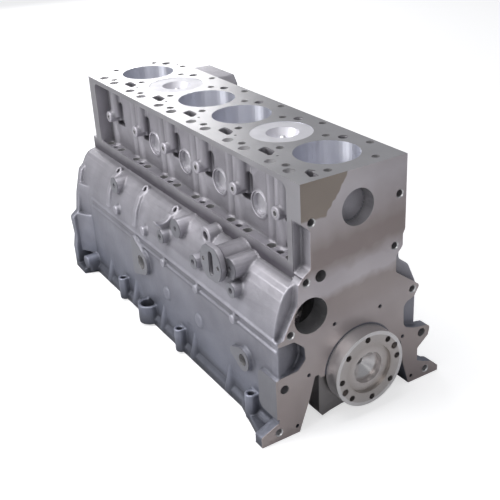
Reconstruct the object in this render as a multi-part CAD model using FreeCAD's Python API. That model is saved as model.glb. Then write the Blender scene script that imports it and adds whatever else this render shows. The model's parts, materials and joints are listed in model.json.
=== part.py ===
"""Short block of an inline six-cylinder diesel engine: iron cylinder block with its crankshaft, pistons and rods.

Origin: where the crankshaft's axis meets the block's rear face.
+X runs along the crankshaft towards the flywheel, +Z up to the deck, -Y is the camshaft side.
Cylinder 1 is at the front (lowest X), cylinder 6 at the rear. Pistons 2 and 5 stand at top dead centre.
"""
import FreeCAD, Part
import math
import os

os.makedirs("parts", exist_ok=True)

# Driving dimensions of the engine, in millimetres
cylinders = 6
bore_pitch = 120.0
bore_radius = 51.0
throw = 60.0
rod_length = 192.0
deck_height = 326.0
rail_drop = 84.0
rear_overhang = 80.0
front_overhang = 75.0
crown_drop = 0.5
piston_gap = 0.1
running_gap = 0.05
bolt_gap = 0.1

# Crank angle of each throw from straight up, in degrees
throw_angle = {1: 120.0, 2: 0.0, 3: -120.0, 4: -120.0, 5: 0.0, 6: 120.0}
weighted_throws = (1, 3, 4, 6)

# Crankshaft
main_journal_radius = 41.5
pin_radius = 34.5
web_thickness = 23.0
main_journal_length = 34.0
web_hub_radius = 50.0
web_pin_radius = 42.0
counterweight_radius = 88.0
counterweight_half_angle = 58.0
flange_radius = 65.0
flange_start = 0.0
flange_thickness = 26.0
flange_relief = 0.8
flange_recess_radius = 42.0
flange_recess_depth = 5.0
pilot_radius = 27.0
pilot_depth = 15.0
centre_hole_radius = 6.0
flange_bolt_circle = 54.0
flange_bolt_radius = 5.2
flange_bolts = 8
flange_bolt_turn = 5.0
flange_dowel_turn = 27.5
flange_dowel_radius = 6.0
nose_radius = 24.0
nose_length = 56.0
gear_seat_radius = 32.0
gear_width = 26.0
gear_teeth = 36
gear_root_radius = 47.0
gear_tooth_height = 5.0

# Main bearings and caps
bearing_width = 28.0
main_shell = 2.45
cap_half_width = 75.0
cap_height = 78.0
cap_bolt_y = 58.0
cap_bolt_radius = 7.0
cap_bolt_depth = 42.0
cap_seat_depth = 64.0
cap_seat_radius = 13.5
bolt_head_height = 11.0
thrust_main = 6
thrust_washer = 2.2
thrust_washer_radius = 55.0

# Connecting rods
rod_shell = 2.0
big_end_width = 38.0
big_end_half = 51.0
rod_bolt_offset = 44.0
rod_bolt_radius = 5.5
rod_bolt_depth = 22.0
rod_bolt_head = 8.0
rod_cap_seat = 26.0
rod_cap_height = 46.0
small_end_radius = 28.0
small_end_width = 34.0
small_end_bush = 2.5
beam_width = 22.0
beam_recess = 7.0

# Pistons
pin_bore_radius = 20.0
pin_length = 84.0
pin_wall = 9.0
skirt_below_pin = 38.0
skirt_wall = 5.0
crown_thickness = 22.0
bowl_radius = 27.0
bowl_depth = 15.0
bowl_offset = 3.0
ring_depth = 4.4
ring_gap = 0.15
top_ring_height = 2.6
second_ring_height = 2.4
oil_ring_height = 4.0
top_ring_below_crown = 12.0
second_ring_below_crown = 22.0
oil_ring_below_crown = 31.0
boss_half_gap = 18.0
circlip_width = 1.6
circlip_depth = 1.4

# Camshaft bores and tappets
cam_y = -90.7
cam_z = 115.8
cam_bore_radius = 29.6
cam_bush_wall = 2.5
tappet_y = -89.0
tappet_radius = 8.0
tappet_offsets = (-23.0, 28.0)
tappet_drain_offset = 2.0
tappet_drain_radius = 6.0

# Outside of the casting
cam_face_y = -104.6
right_wall_y = 86.0
cam_wall_y = -150.0
right_skirt_y = 122.0
rail_left_y = -157.0
rail_right_y = 148.0
rail_thickness = 14.0
rail_bolt_radius = 4.5
shoulder_z = 171.0
sleeve_bottom_z = 130.0
plate_thickness = 20.0
front_plate = 14.0
foot_left_y = -186.0
foot_right_y = 168.0

# Inside of the crankcase
bulkhead_half = 14.0
cavity_left_y = -142.0
cavity_right_y = 114.0
cavity_top_z = 132.0
cam_space_top_z = 154.0
rail_inner_left_y = -117.0
rail_inner_right_y = 104.0

# Pushrod chamber on the camshaft side
chamber_back_y = -77.0
chamber_front_end = 43.0
chamber_rear_end = 35.0
chamber_floor_z = 190.0
chamber_lip_z = 196.0
chamber_roof = 9.0
cover_bolt_drop = 72.0
chamber_corner = 12.0
plug_radius = 20.0
plug_depth = 8.0
plug_wall = 2.0
plug_sink = 3.0
plug_seat = 12.0
plug_drop = 87.0
plug_offset = 50.0

# Deck holes
head_bolt_radius = 6.3
head_bolt_depth = 48.0
head_bolt_y = 43.0
pushrod_radius = 9.0
coolant_radius = 8.0
coolant_depth = 34.0
vent_radius = 2.5

# Rear face
core_hole_y = -4.6
core_hole_drop = 60.0
core_hole_radius = 29.0
core_hole_depth = 22.0
gallery_y = -72.4
gallery_z = 176.0
gallery_radius = 9.5
gallery_bore_radius = 6.5
gallery_mouth = 40.0
housing_bolt_radius = 5.5
housing_dowel_radius = 7.5
seal_bolt_radius = 3.4
bolt_hole_depth = 26.0
bolt_chamfer = 1.5

pi = math.pi
V = FreeCAD.Vector

# Places worked out from the driving dimensions
cylinder_numbers = range(1, cylinders + 1)
main_numbers = range(1, cylinders + 2)
rear_x = 0.0
front_x = -(rear_overhang + bore_pitch * (cylinders - 1) + front_overhang)
main_bore_radius = main_journal_radius + running_gap + main_shell
rod_bore_radius = pin_radius + running_gap + rod_shell
small_end_bore = pin_bore_radius + running_gap + small_end_bush
piston_radius = bore_radius - piston_gap
compression_height = deck_height - throw - rod_length - crown_drop
half_journal = main_journal_length / 2
pin_half_length = bore_pitch / 2 - half_journal - web_thickness
chamber_top_z = deck_height - chamber_roof
cover_bolt_z = deck_height - cover_bolt_drop
plug_z = deck_height - plug_drop
core_hole_z = deck_height - core_hole_drop


def cylinder_x(number):
    """Centre of a bore, counted from the front."""
    return -rear_overhang - bore_pitch * (cylinders - number)


def main_x(number):
    """Centre of a main bearing, counted from the front."""
    return cylinder_x(1) + bore_pitch * (number - 1.5)


def pin_y(number):
    """Sideways place of a crankpin."""
    return -throw * math.sin(math.radians(throw_angle[number]))


def pin_z(number):
    """Height of a crankpin."""
    return throw * math.cos(math.radians(throw_angle[number]))


def gudgeon_z(number):
    """Height of a piston pin, from the slider-crank triangle."""
    return pin_z(number) + math.sqrt(rod_length ** 2 - pin_y(number) ** 2)


# Shape helpers
def box(x0, x1, y0, y1, z0, z1):
    return Part.makeBox(x1 - x0, y1 - y0, z1 - z0, V(x0, y0, z0))


def rod_x(x0, x1, y, z, radius):
    return Part.makeCylinder(radius, x1 - x0, V(x0, y, z), V(1, 0, 0))


def rod_y(y0, y1, x, z, radius):
    return Part.makeCylinder(radius, y1 - y0, V(x, y0, z), V(0, 1, 0))


def rod_z(z0, z1, x, y, radius):
    return Part.makeCylinder(radius, z1 - z0, V(x, y, z0), V(0, 0, 1))


def single(shape):
    """The one solid of a shape, or the shape itself where it holds more."""
    return shape.Solids[0] if len(shape.Solids) == 1 else shape


def joined(shapes):
    return single(shapes[0].fuse(shapes[1:]))


def less(shape, cutters):
    return single(shape.cut(cutters))


def corner(before, point, after, radius):
    """Start, middle and end of the arc that rounds one corner of an outline."""
    to_before = (before - point).normalize()
    to_after = (after - point).normalize()
    half = to_before.getAngle(to_after) / 2
    reach = radius / math.tan(half)
    inward = (to_before + to_after).normalize()
    centre = point + inward * (radius / math.sin(half))
    return point + to_before * reach, centre - inward * radius, point + to_after * reach


def outline(points, place):
    """Closed wire through (a, b) or (a, b, corner radius); place puts a and b in space."""
    spots = [place(p[0], p[1]) for p in points]
    count = len(points)
    stretches = []
    for i, p in enumerate(points):
        if len(p) == 3:
            stretches.append(corner(spots[i - 1], spots[i], spots[(i + 1) % count], p[2]))
        else:
            stretches.append((spots[i],))
    edges = []
    for i, stretch in enumerate(stretches):
        if len(stretch) == 3:
            edges.append(Part.Arc(*stretch).toShape())
        following = stretches[(i + 1) % count]
        if (stretch[-1] - following[0]).Length > 1e-6:
            edges.append(Part.makeLine(stretch[-1], following[0]))
    return Part.Wire(edges)


def slab_x(points, x0, x1):
    """Outline of (y, z) points, drawn out along X."""
    return Part.Face(outline(points, lambda a, b: V(x0, a, b))).extrude(V(x1 - x0, 0, 0))


def slab_y(points, y0, y1):
    """Outline of (x, z) points, drawn out along Y."""
    return Part.Face(outline(points, lambda a, b: V(a, y0, b))).extrude(V(0, y1 - y0, 0))


def slab_z(points, z0, z1):
    """Outline of (x, y) points, drawn out along Z."""
    return Part.Face(outline(points, lambda a, b: V(a, b, z0))).extrude(V(0, 0, z1 - z0))


def belt(a, b, radius_a, radius_b):
    """Corners of the tangent quadrilateral that joins two circles lying in one plane."""
    along = V(b[0] - a[0], b[1] - a[1], 0)
    distance = along.Length
    heading = math.atan2(along.y, along.x)
    spread = math.acos((radius_a - radius_b) / distance)
    corners = []
    for centre, radius, side in ((a, radius_a, 1), (a, radius_a, -1), (b, radius_b, -1), (b, radius_b, 1)):
        angle = heading + side * spread
        corners.append((centre[0] + radius * math.cos(angle), centre[1] + radius * math.sin(angle)))
    return corners


def hexagon(across, a, b):
    reach = across / math.sqrt(3)
    return [(a + reach * math.cos(pi * k / 3), b + reach * math.sin(pi * k / 3)) for k in range(6)]


def save(shapes, name):
    """Write one node: a single solid, or a group of separate ones."""
    solids = []
    for shape in shapes:
        solids += shape.Solids
    whole = solids[0] if len(solids) == 1 else Part.makeCompound(solids)
    whole.exportStep("parts/" + name + ".step")


# Cylinder block: the casting's outside
def main_section():
    """Section of the casting across the crankshaft, camshaft side at the left."""
    return [
        (cam_face_y, deck_height),
        (cam_face_y, shoulder_z),
        (cam_face_y - 9.4, shoulder_z - 2),
        (cam_face_y - 16.4, shoulder_z - 5),
        (cam_face_y - 23.4, shoulder_z - 12),
        (cam_face_y - 30.4, shoulder_z - 24),
        (cam_face_y - 36.4, shoulder_z - 40),
        (cam_wall_y + 3, shoulder_z - 61),
        (cam_wall_y, 92.0),
        (cam_wall_y, -rail_drop + rail_thickness + 8),
        (rail_left_y, -rail_drop + rail_thickness),
        (rail_left_y, -rail_drop),
        (rail_right_y, -rail_drop),
        (rail_right_y, -rail_drop + rail_thickness),
        (right_skirt_y, -rail_drop + rail_thickness + 8),
        (right_skirt_y, 98.0, 12),
        (right_skirt_y - 16, 134.0, 12),
        (right_wall_y, 150.0, 8),
        (right_wall_y, deck_height),
    ]


def rear_plate():
    """Flywheel housing flange at the rear, with the ears, notches and feet of its right and left edges."""
    return [
        (cam_face_y, deck_height),
        (cam_face_y, 180.0),
        (-111.0, 172.0),
        (-114.0, 138.0, 14),
        (-134.0, 102.0, 10),
        (-140.0, 90.0),
        (cam_wall_y, 88.0),
        (cam_wall_y - 1, -8.0),
        (cam_wall_y - 3, -52.0),
        (foot_left_y, -66.0, 4),
        (foot_left_y, -rail_drop),
        (foot_right_y, -rail_drop),
        (foot_right_y, -74.0, 5),
        (154.0, -61.0, 6),
        (137.0, -55.0, 6),
        (121.0, -47.0, 5),
        (121.0, -22.0, 4),
        (143.0, -4.0, 4),
        (147.0, 14.0, 7),
        (112.0, 20.0, 8),
        (89.0, 30.0, 14),
        (88.0, 74.0, 14),
        (109.0, 80.0, 3),
        (120.0, 98.0, 5),
        (70.0, 136.0, 6),
        (70.0, 165.0, 8),
        (82.0, 178.0, 6),
        (82.0, 198.0, 4),
        (right_wall_y, 206.0),
        (right_wall_y, deck_height),
    ]


def front_flange():
    """Gear housing flange at the front, wider than the casting behind it."""
    return [
        (-96.0, deck_height),
        (-96.0, 204.0, 8),
        (-106.0, 166.0, 6),
        (-130.0, 150.0, 8),
        (-147.0, 134.0, 10),
        (-160.0, 85.0, 20),
        (-166.0, 46.0, 6),
        (-181.0, 34.0, 9),
        (-178.0, -8.0, 6),
        (-183.0, -34.0, 8),
        (-183.0, -rail_drop),
        (rail_right_y + 8, -rail_drop),
        (rail_right_y + 8, 40.0, 20),
        (128.0, 118.0, 16),
        (right_wall_y, 158.0, 8),
        (right_wall_y, deck_height),
    ]


def rear_rail_spread():
    """Pan rail widening towards the rear feet, and the block round the left dowel."""
    left = [
        (-112.0, rail_left_y + 1),
        (-4.0, foot_left_y + 3),
        (-4.0, cam_wall_y + 1),
        (-112.0, cam_wall_y + 1),
    ]
    right = [
        (-90.0, rail_right_y - 1),
        (-4.0, foot_right_y - 3),
        (-4.0, right_skirt_y),
        (-90.0, right_skirt_y),
    ]
    top = -rail_drop + rail_thickness
    dowel_block = [(-50.0, -45.0, 12), (rear_x, -45.0), (rear_x, 25.0), (-50.0, 25.0, 12)]
    block = slab_y(dowel_block, cam_wall_y - 7, cam_wall_y + 1)
    return [slab_z(left, -rail_drop, top), slab_z(right, -rail_drop, top), block]


def front_corner():
    """Panels that lead from the camshaft-side wall out to the front flange, and the foot under them."""
    start = front_x + front_plate - 1
    lower = [(start + 40, cam_wall_y + 1), (start, cam_wall_y - 21), (start, cam_wall_y + 1)]
    upper = [(start + 44, cam_wall_y + 3), (start, cam_wall_y - 8), (start, cam_wall_y + 3)]
    foot = [
        (front_x + 6, cam_wall_y + 1),
        (front_x + 6, -183.0, 3),
        (front_x + 50, -184.0, 3),
        (front_x + 58, rail_left_y, 6),
        (front_x + 90, cam_wall_y + 1),
    ]
    boss_x = front_x + 49
    return [
        slab_z(lower, -46.0, 42.0),
        slab_z(upper, 42.0, 108.0),
        slab_z(foot, -rail_drop, -rail_drop + 11),
        rod_y(-178.0, cam_wall_y + 4, boss_x, -58.0, 14.0),
        box(boss_x - 14, boss_x + 14, -174.0, cam_wall_y + 1, -rail_drop + 6, -60.0),
    ]


def cam_wall_ridges():
    """Two long ridges on the camshaft-side wall, with the small bosses that stand on them."""
    shapes = []
    for z in (72.0, 88.0):
        shapes.append(box(front_x + 62, -1.0, cam_wall_y - 3, cam_wall_y + 1, z - 2, z + 2))
    for number in range(3, cylinders + 1):
        shapes.append(rod_y(cam_wall_y - 8, cam_wall_y + 1, cylinder_x(number) - 41, 75.0, 8.0))
    return shapes


def oil_drilling_bosses():
    """Slanted drilling boss, rib and lower boss beside each inner main bearing."""
    shapes = []
    for number in main_numbers:
        x = main_x(number) + 17
        if number in (2, 3, 4):
            shapes.append(Part.makeCylinder(9.7, 26.0, V(x, -103.0, 150.0), V(0, -1, 0.93)))
            foot_z = 100.0 if number < 4 else 140.0
            route = [
                (-112.0, 164.0),
                (-124.0, 166.0, 5),
                (-135.0, 157.0, 8),
                (-147.0, 131.0, 20),
                (-153.0, foot_z),
                (-140.0, foot_z),
            ]
            shapes.append(slab_x(route, x - 7, x + 7))
        if number in (4, 5, 6):
            shapes.append(rod_y(-157.0, -130.0, x + 4, 127.0, 12.5))
        if number in (4, 5):
            shapes.append(rod_y(cam_wall_y - 3, cam_wall_y + 1, x - 4, 9.0, 12.0))
        if number in (2, 3):
            shapes.append(rod_y(cam_wall_y - 6, cam_wall_y + 6, x + 44, 108.0, 9.0))
    shapes.append(rod_y(-130.0, -100.0, main_x(5) + 20, 165.0, 17.0))
    return shapes


def cover_bosses():
    """Thick round bosses that stand out level from the shoulder."""
    return [
        rod_y(-146.0, -108.0, cylinder_x(2) - 11, 153.0, 16.0),
        rod_y(-146.0, -108.0, cylinder_x(4) + 3, 155.0, 17.0),
        rod_y(-152.0, -108.0, cylinder_x(6) - 46, 160.0, 17.0),
    ]


pump_x = cylinder_x(6) - 80
pump_z = 160.0
pump_face_y = cam_wall_y - 16
pump_slot_half = 20.0
pump_bolt_spacing = 46.0


def pump_pad():
    """Lift pump pad on its thick stem: a pointed oval with a bolt hole at each end."""
    half = pump_bolt_spacing / 2
    ear = 10.0
    middle = 32.0
    pad = [rod_y(pump_face_y, pump_face_y + 11, pump_x, pump_z, middle)]
    for side in (-1, 1):
        centre = (pump_x + side * half, pump_z)
        pad.append(rod_y(pump_face_y, pump_face_y + 11, centre[0], centre[1], ear))
        pad.append(slab_y(belt((pump_x, pump_z), centre, middle - 1, ear), pump_face_y, pump_face_y + 11))
    trim = box(pump_x - 60, pump_x + 60, pump_face_y - 1, pump_face_y + 12, pump_z - 29, pump_z + 29)
    flat = joined(pad).common(trim)
    return [flat, rod_y(pump_face_y + 6, -106.0, pump_x + 3, pump_z, 26.0)]


side_pad_face_y = cam_wall_y - 9
dipstick_x = cylinder_x(3) - 11
dipstick_z = 40.0
rear_pad_x = cylinder_x(6) - 14
rear_pad_z = 16.0


def side_pads():
    """Two raised pads low on the camshaft side, each a hull round its hole and bolt holes."""
    shapes = []
    front = ((dipstick_x, dipstick_z), 25.0)
    for bolt in ((dipstick_x - 29, dipstick_z + 34), (dipstick_x - 31, dipstick_z - 27)):
        shapes.append(rod_y(side_pad_face_y, cam_wall_y + 1, bolt[0], bolt[1], 9.0))
        shapes.append(slab_y(belt(front[0], bolt, front[1] - 0.5, 8.5), side_pad_face_y, cam_wall_y + 1))
    shapes.append(rod_y(side_pad_face_y, cam_wall_y + 1, dipstick_x, dipstick_z, front[1]))
    web = [(dipstick_x - 38, dipstick_z + 34), (dipstick_x - 39, dipstick_z - 27), (dipstick_x, dipstick_z)]
    shapes.append(slab_y(web, side_pad_face_y, cam_wall_y + 1))
    bolt = (rear_pad_x - 26, rear_pad_z + 2)
    shapes.append(rod_y(side_pad_face_y, cam_wall_y + 1, rear_pad_x, rear_pad_z, 20.0))
    shapes.append(rod_y(side_pad_face_y, cam_wall_y + 1, bolt[0], bolt[1], 9.0))
    shapes.append(slab_y(belt((rear_pad_x, rear_pad_z), bolt, 19.5, 8.5), side_pad_face_y, cam_wall_y + 1))
    return shapes


rail_boss_top_z = -rail_drop + 50
drum_x = cylinder_x(3) - 2
drum_top_z = -rail_drop + 42


def rail_bosses():
    """Bolt bosses over the pan rail: tall drilled ones, tapered ones between, and one large drum."""
    shapes = []
    for number in (2, 4, 6):
        x = cylinder_x(number) + 8
        shapes.append(rod_z(-rail_drop + 4, rail_boss_top_z, x, rail_left_y - 1, 11.0))
        shapes.append(box(x - 11, x + 11, rail_left_y - 1, cam_wall_y + 2, -rail_drop + 4, rail_boss_top_z))
    for number in main_numbers:
        if 1 < number < 7:
            x = main_x(number) - 9
            shapes.append(Part.makeCone(11.0, 5.0, 48.0, V(x, cam_wall_y - 2, -rail_drop + 8), V(0, 0.12, 1)))
    shapes.append(rod_z(-rail_drop + 4, drum_top_z, drum_x, cam_wall_y - 6, 22.0))
    return shapes


def right_side():
    """Hidden side: oil cooler housing at the front, mounting pads, and a rib at each main bearing."""
    cooler = [
        (front_x + 40, cooler_foot_z, 14),
        (front_x + 201, cooler_foot_z, 14),
        (front_x + 201, deck_height - 21, 4),
        (front_x + 189, deck_height - 6, 4),
        (front_x + 93, deck_height - 6, 10),
        (front_x + 40, deck_height - 20, 6),
    ]
    shapes = [slab_y(cooler, right_wall_y - 1, cooler_face_y)]
    for number in main_numbers:
        if 1 < number < 7:
            x = main_x(number)
            shapes.append(box(x - 4, x + 4, right_skirt_y - 2, right_skirt_y + 8, -rail_drop + 10, 84.0))
    for x in mount_pads:
        pad = [(x - 46, -32.0, 9), (x + 46, -32.0, 9), (x + 46, 48.0, 9), (x - 46, 48.0, 9)]
        shapes.append(slab_y(pad, right_skirt_y - 2, mount_pad_y))
    for number in cylinder_numbers:
        x = cylinder_x(number) + plug_shift
        shapes.append(rod_y(right_wall_y - 1, right_wall_y + 4, x, plug_z - 4, plug_radius + 4))
    return shapes


cooler_face_y = right_wall_y + 46
cooler_foot_z = deck_height - 158
cooler_recess = 28.0
plug_shift = 0.0
mount_pad_y = right_skirt_y + 12
mount_pads = (cylinder_x(2) + 20, cylinder_x(5) + 10)
mount_bolt_x = 34.0
mount_bolt_z = (-20.0, 36.0)


def casting():
    """The whole outside of the casting, before anything is hollowed or drilled."""
    body = joined([
        slab_x(main_section(), front_x, -plate_thickness + 8),
        slab_x(rear_plate(), -plate_thickness, rear_x),
        slab_x(front_flange(), front_x, front_x + front_plate),
    ])
    edges = rear_rail_spread() + front_corner() + cam_wall_ridges()
    upper = oil_drilling_bosses() + cover_bosses() + pump_pad()
    lower = side_pads() + rail_bosses()
    for group in (edges, upper, lower, right_side()):
        body = joined([body] + group)
    return body


# Cylinder block: hollows and holes
cover_boss_y = cam_face_y + 7.6
plugged_cylinders = range(2, cylinders)


def chamber_cut():
    """Pushrod chamber, open to the camshaft side, with a trough behind its lower lip."""
    section = [
        (cam_face_y - 60, chamber_lip_z),
        (cam_face_y + 4, chamber_lip_z),
        (cam_face_y + 6, chamber_floor_z),
        (chamber_back_y, chamber_floor_z),
        (chamber_back_y, chamber_top_z),
        (cam_face_y - 60, chamber_top_z),
    ]
    x0 = front_x + chamber_front_end
    x1 = -chamber_rear_end
    frame = [
        (x0, chamber_floor_z - 5),
        (x1, chamber_floor_z - 5),
        (x1, chamber_top_z, chamber_corner),
        (x0, chamber_top_z, chamber_corner),
    ]
    return slab_x(section, x0, x1).common(slab_y(frame, cam_face_y - 1, chamber_back_y + 1))


def chamber_pockets():
    """Arched pocket beside each head bolt column, and a slot under the boss at the column's foot."""
    shapes = []
    low = cover_bolt_z - 11
    high = cover_bolt_z + 30
    for number in cylinder_numbers:
        x = cylinder_x(number)
        arch = [(x + 14, low), (x + 32, low), (x + 32, high, 8), (x + 14, high, 8)]
        shapes.append(slab_y(arch, chamber_back_y - 1, chamber_back_y + 7))
        shapes.append(box(x - 4, x + 34, chamber_back_y - 1, chamber_back_y + 10, low - 7, low + 1))
    return shapes


def chamber_columns():
    """Columns on the chamber's back wall: head bolt column with a cover bolt boss at its foot, and ribs."""
    shapes = []
    floor = chamber_floor_z - 1
    roof = chamber_top_z + 2
    for number in cylinder_numbers:
        x = cylinder_x(number)
        shapes.append(rod_z(cover_bolt_z - 1, roof, x + 6, chamber_back_y - 2, 10.5))
        shapes.append(rod_y(cover_boss_y, chamber_back_y + 12, x + 2, cover_bolt_z, 11.0))
        for offset, y in ((-38.0, chamber_back_y + 6), (-17.0, chamber_back_y + 7)):
            if x + offset - 12 > front_x + chamber_front_end:
                shapes.append(rod_z(floor, roof, x + offset, y, 11.0))
        foot = V(x - 10, chamber_back_y + 11, floor - 3)
        shapes.append(Part.makeCone(17.0, 9.0, 66.0, foot, V(-7, -4, 63)))
    for number in plugged_cylinders:
        x = cylinder_x(number) + plug_offset
        shapes.append(rod_y(chamber_back_y - 3, chamber_back_y + 3, x, plug_z, plug_radius + 3))
    return shapes


def crankcase_bays():
    """Hollow of the crankcase between each pair of bulkheads, open below."""
    section = [
        (cavity_left_y, -rail_drop + rail_thickness, 6),
        (rail_inner_left_y, -rail_drop + rail_thickness),
        (rail_inner_left_y, -rail_drop - 1),
        (rail_inner_right_y, -rail_drop - 1),
        (rail_inner_right_y, -rail_drop + rail_thickness),
        (cavity_right_y, -rail_drop + rail_thickness, 6),
        (cavity_right_y, 96.0, 16),
        (78.0, cavity_top_z, 16),
        (-60.0, cavity_top_z, 4),
        (-64.0, cam_space_top_z, 8),
        (-116.0, cam_space_top_z, 14),
        (cavity_left_y, 108.0, 20),
    ]
    shapes = []
    for number in cylinder_numbers:
        x0 = main_x(number) + bulkhead_half
        x1 = main_x(number + 1) - bulkhead_half
        shapes.append(slab_x(section, x0, x1))
    return shapes


def parting_cut():
    """Space under the bulkheads for the main caps, widening down to the pan rail."""
    section = [
        (-cap_half_width, 0.0),
        (-cap_half_width - 4, 7.0, 3),
        (-cap_half_width - 11, 7.0, 3),
        (-97.0, -31.0),
        (rail_inner_left_y, -rail_drop - 1),
        (rail_inner_right_y, -rail_drop - 1),
        (90.0, -38.0),
        (cap_half_width + 9, 7.0, 3),
        (cap_half_width + 4, 7.0, 3),
        (cap_half_width, 0.0),
    ]
    return slab_x(section, front_x - 1, rear_x + 1)


def long_bores():
    """Main bearing bore, camshaft bore and main oil gallery."""
    ahead = front_x - 1
    behind = rear_x + 1
    return [
        rod_x(ahead, behind, 0, 0, main_bore_radius),
        rod_x(ahead, behind, cam_y, cam_z, cam_bore_radius),
        rod_x(front_x + 30, behind, gallery_y, gallery_z, gallery_bore_radius),
        rod_x(-gallery_mouth, behind, gallery_y, gallery_z, gallery_radius),
        rod_x(-core_hole_depth, behind, core_hole_y, core_hole_z, core_hole_radius),
        rod_x(-flange_relief, behind, 0, 0, flange_radius + 3),
    ]


def deck_holes():
    """Cylinder bores, head bolt holes, pushrod holes and coolant passages."""
    top = deck_height + 1
    bolt_end = deck_height - head_bolt_depth
    coolant_end = deck_height - coolant_depth
    shapes = []
    for number in cylinder_numbers:
        x = cylinder_x(number)
        shapes.append(rod_z(sleeve_bottom_z, top, x, 0, bore_radius))
        for offset, y in ((-21.0, -86.0), (27.0, -86.0)):
            shapes.append(rod_z(chamber_top_z - 1, top, x + offset, y, pushrod_radius))
        shapes.append(rod_z(bolt_end, top, x + 6, -77.0, head_bolt_radius))
        shapes.append(rod_z(bolt_end, top, x + 8, 75.0, head_bolt_radius))
        shapes.append(rod_z(coolant_end, top, x - 37, 58.5, coolant_radius))
        shapes.append(rod_z(bolt_end, top, x - 32.5, -65.5, vent_radius))
    for number in main_numbers:
        x = main_x(number)
        for y in (-head_bolt_y, head_bolt_y):
            shapes.append(rod_z(bolt_end, top, x, y, head_bolt_radius))
        if 1 < number < 7:
            shape = [
                (x - 19, -60.0, 3),
                (x - 13, -74.5, 3),
                (x + 16, -74.5, 3),
                (x + 19, -70.5, 3),
                (x + 9, -58.0, 3),
                (x - 15, -57.0, 3),
            ]
            shapes.append(slab_z(shape, coolant_end, top))
    x = main_x(7)
    ear = [
        (x - 20, -62.0, 2),
        (x - 14, -73.0, 2),
        (x + 6, -78.0, 2),
        (x + 10, -64.0, 2),
        (x - 6, -65.0, 2),
        (x - 8, -57.0, 2),
    ]
    shapes.append(slab_z(ear, coolant_end, top))
    shapes.append(rod_z(coolant_end, top, main_x(1) + 21, 62.0, coolant_radius))
    shapes.append(rod_z(coolant_end, top, main_x(1) + 46, 74.0, vent_radius + 0.5))
    return shapes


def tappet_holes():
    """Two tappet bores and a drain hole in the trough's floor for each cylinder."""
    shapes = []
    low = cam_space_top_z - 1
    high = chamber_floor_z + 1
    for number in cylinder_numbers:
        x = cylinder_x(number)
        for offset in tappet_offsets:
            shapes.append(rod_z(low, high, x + offset, tappet_y, tappet_radius))
        shapes.append(rod_z(low, high, x + tappet_drain_offset, tappet_y, tappet_drain_radius))
    return shapes


housing_bolts = (
    (-87.1, 264.3),
    (73.4, 266.0),
    (66.3, 182.3),
    (-97.9, 172.5),
    (-127.5, 95.0),
    (105.4, 94.5),
    (-154.6, -68.5),
    (140.0, -70.0),
)
housing_dowels = ((-142.0, 5.7), (128.0, 5.7))
seal_bolts = ((-48.0, 86.0), (39.5, 86.0), (87.7, 13.2), (-97.0, 13.2), (-121.0, -71.0), (109.0, -72.0))


def rear_holes():
    """Threaded and dowel holes in the rear face."""
    shapes = []
    for y, z in housing_bolts:
        shapes.append(rod_x(-bolt_hole_depth, rear_x + 1, y, z, housing_bolt_radius))
        mouth = housing_bolt_radius + bolt_chamfer
        edge = V(-bolt_chamfer, y, z)
        shapes.append(Part.makeCone(housing_bolt_radius, mouth + 1, bolt_chamfer + 1, edge, V(1, 0, 0)))
    for y, z in housing_dowels:
        shapes.append(rod_x(-14.0, rear_x + 1, y, z, housing_dowel_radius))
    for y, z in seal_bolts:
        shapes.append(rod_x(-14.0, rear_x + 1, y, z, seal_bolt_radius))
    return shapes


def rear_pockets():
    """Cast pockets in the left edge of the rear face."""
    upper = [
        (cam_face_y - 10, 275.0),
        (-88.6, 252.0, 5),
        (-88.6, 191.0, 7),
        (cam_face_y - 10, 175.0),
    ]
    lower = [
        (cam_wall_y - 12, 82.0),
        (-122.0, 82.0, 8),
        (-104.0, 66.0, 9),
        (-102.0, 44.0, 9),
        (-116.0, 29.0, 9),
        (cam_wall_y - 12, 26.0),
    ]
    slope = [
        (1.0, -98.0),
        (-17.0, -98.0),
        (-17.0, -106.0),
        (-2.0, cam_wall_y - 1),
        (-2.0, cam_wall_y - 12),
        (1.0, cam_wall_y - 12),
    ]
    slanted = slab_x(lower, -18.0, 1.0).common(slab_z(slope, 20.0, 90.0))
    return [slab_x(upper, -23.0, 1.0), slanted]


def front_trim():
    """Bevel down the front corner of the chamber's frame."""
    bevel = [(front_x - 1, cam_face_y - 1), (front_x + 17, cam_face_y - 1), (front_x - 1, -79.0)]
    return slab_z(bevel, 196.0, deck_height + 1)


def cap_bolt_holes():
    shapes = []
    for number in main_numbers:
        for y in (-cap_bolt_y, cap_bolt_y):
            shapes.append(rod_z(-1.0, cap_bolt_depth + 2, main_x(number), y, cap_bolt_radius + bolt_gap))
    return shapes


def rail_holes():
    """Oil pan bolt holes in the rails' undersides."""
    left = (rail_left_y + rail_inner_left_y) / 2
    right = (rail_right_y + rail_inner_right_y) / 2
    shapes = []
    for number in cylinder_numbers:
        for offset in (-30.0, 30.0):
            x = cylinder_x(number) + offset
            for y in (left, right):
                shapes.append(rod_z(-rail_drop - 1, -rail_drop + rail_thickness + 1, x, y, rail_bolt_radius))
    return shapes


def plug_places():
    """Centre of each core plug and the side that it faces: -1 the camshaft side, 1 the other."""
    places = []
    for number in plugged_cylinders:
        places.append((cylinder_x(number) + plug_offset, chamber_back_y - 3, plug_z, -1))
    for number in range(3, cylinders + 1):
        places.append((cylinder_x(number) + plug_shift, right_wall_y + 4, plug_z - 4, 1))
    return places


def plug_seats():
    shapes = []
    for x, y, z, side in plug_places():
        inner = y - side * plug_seat
        shapes.append(rod_y(min(inner, y + side), max(inner, y + side), x, z, plug_radius))
    return shapes


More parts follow.
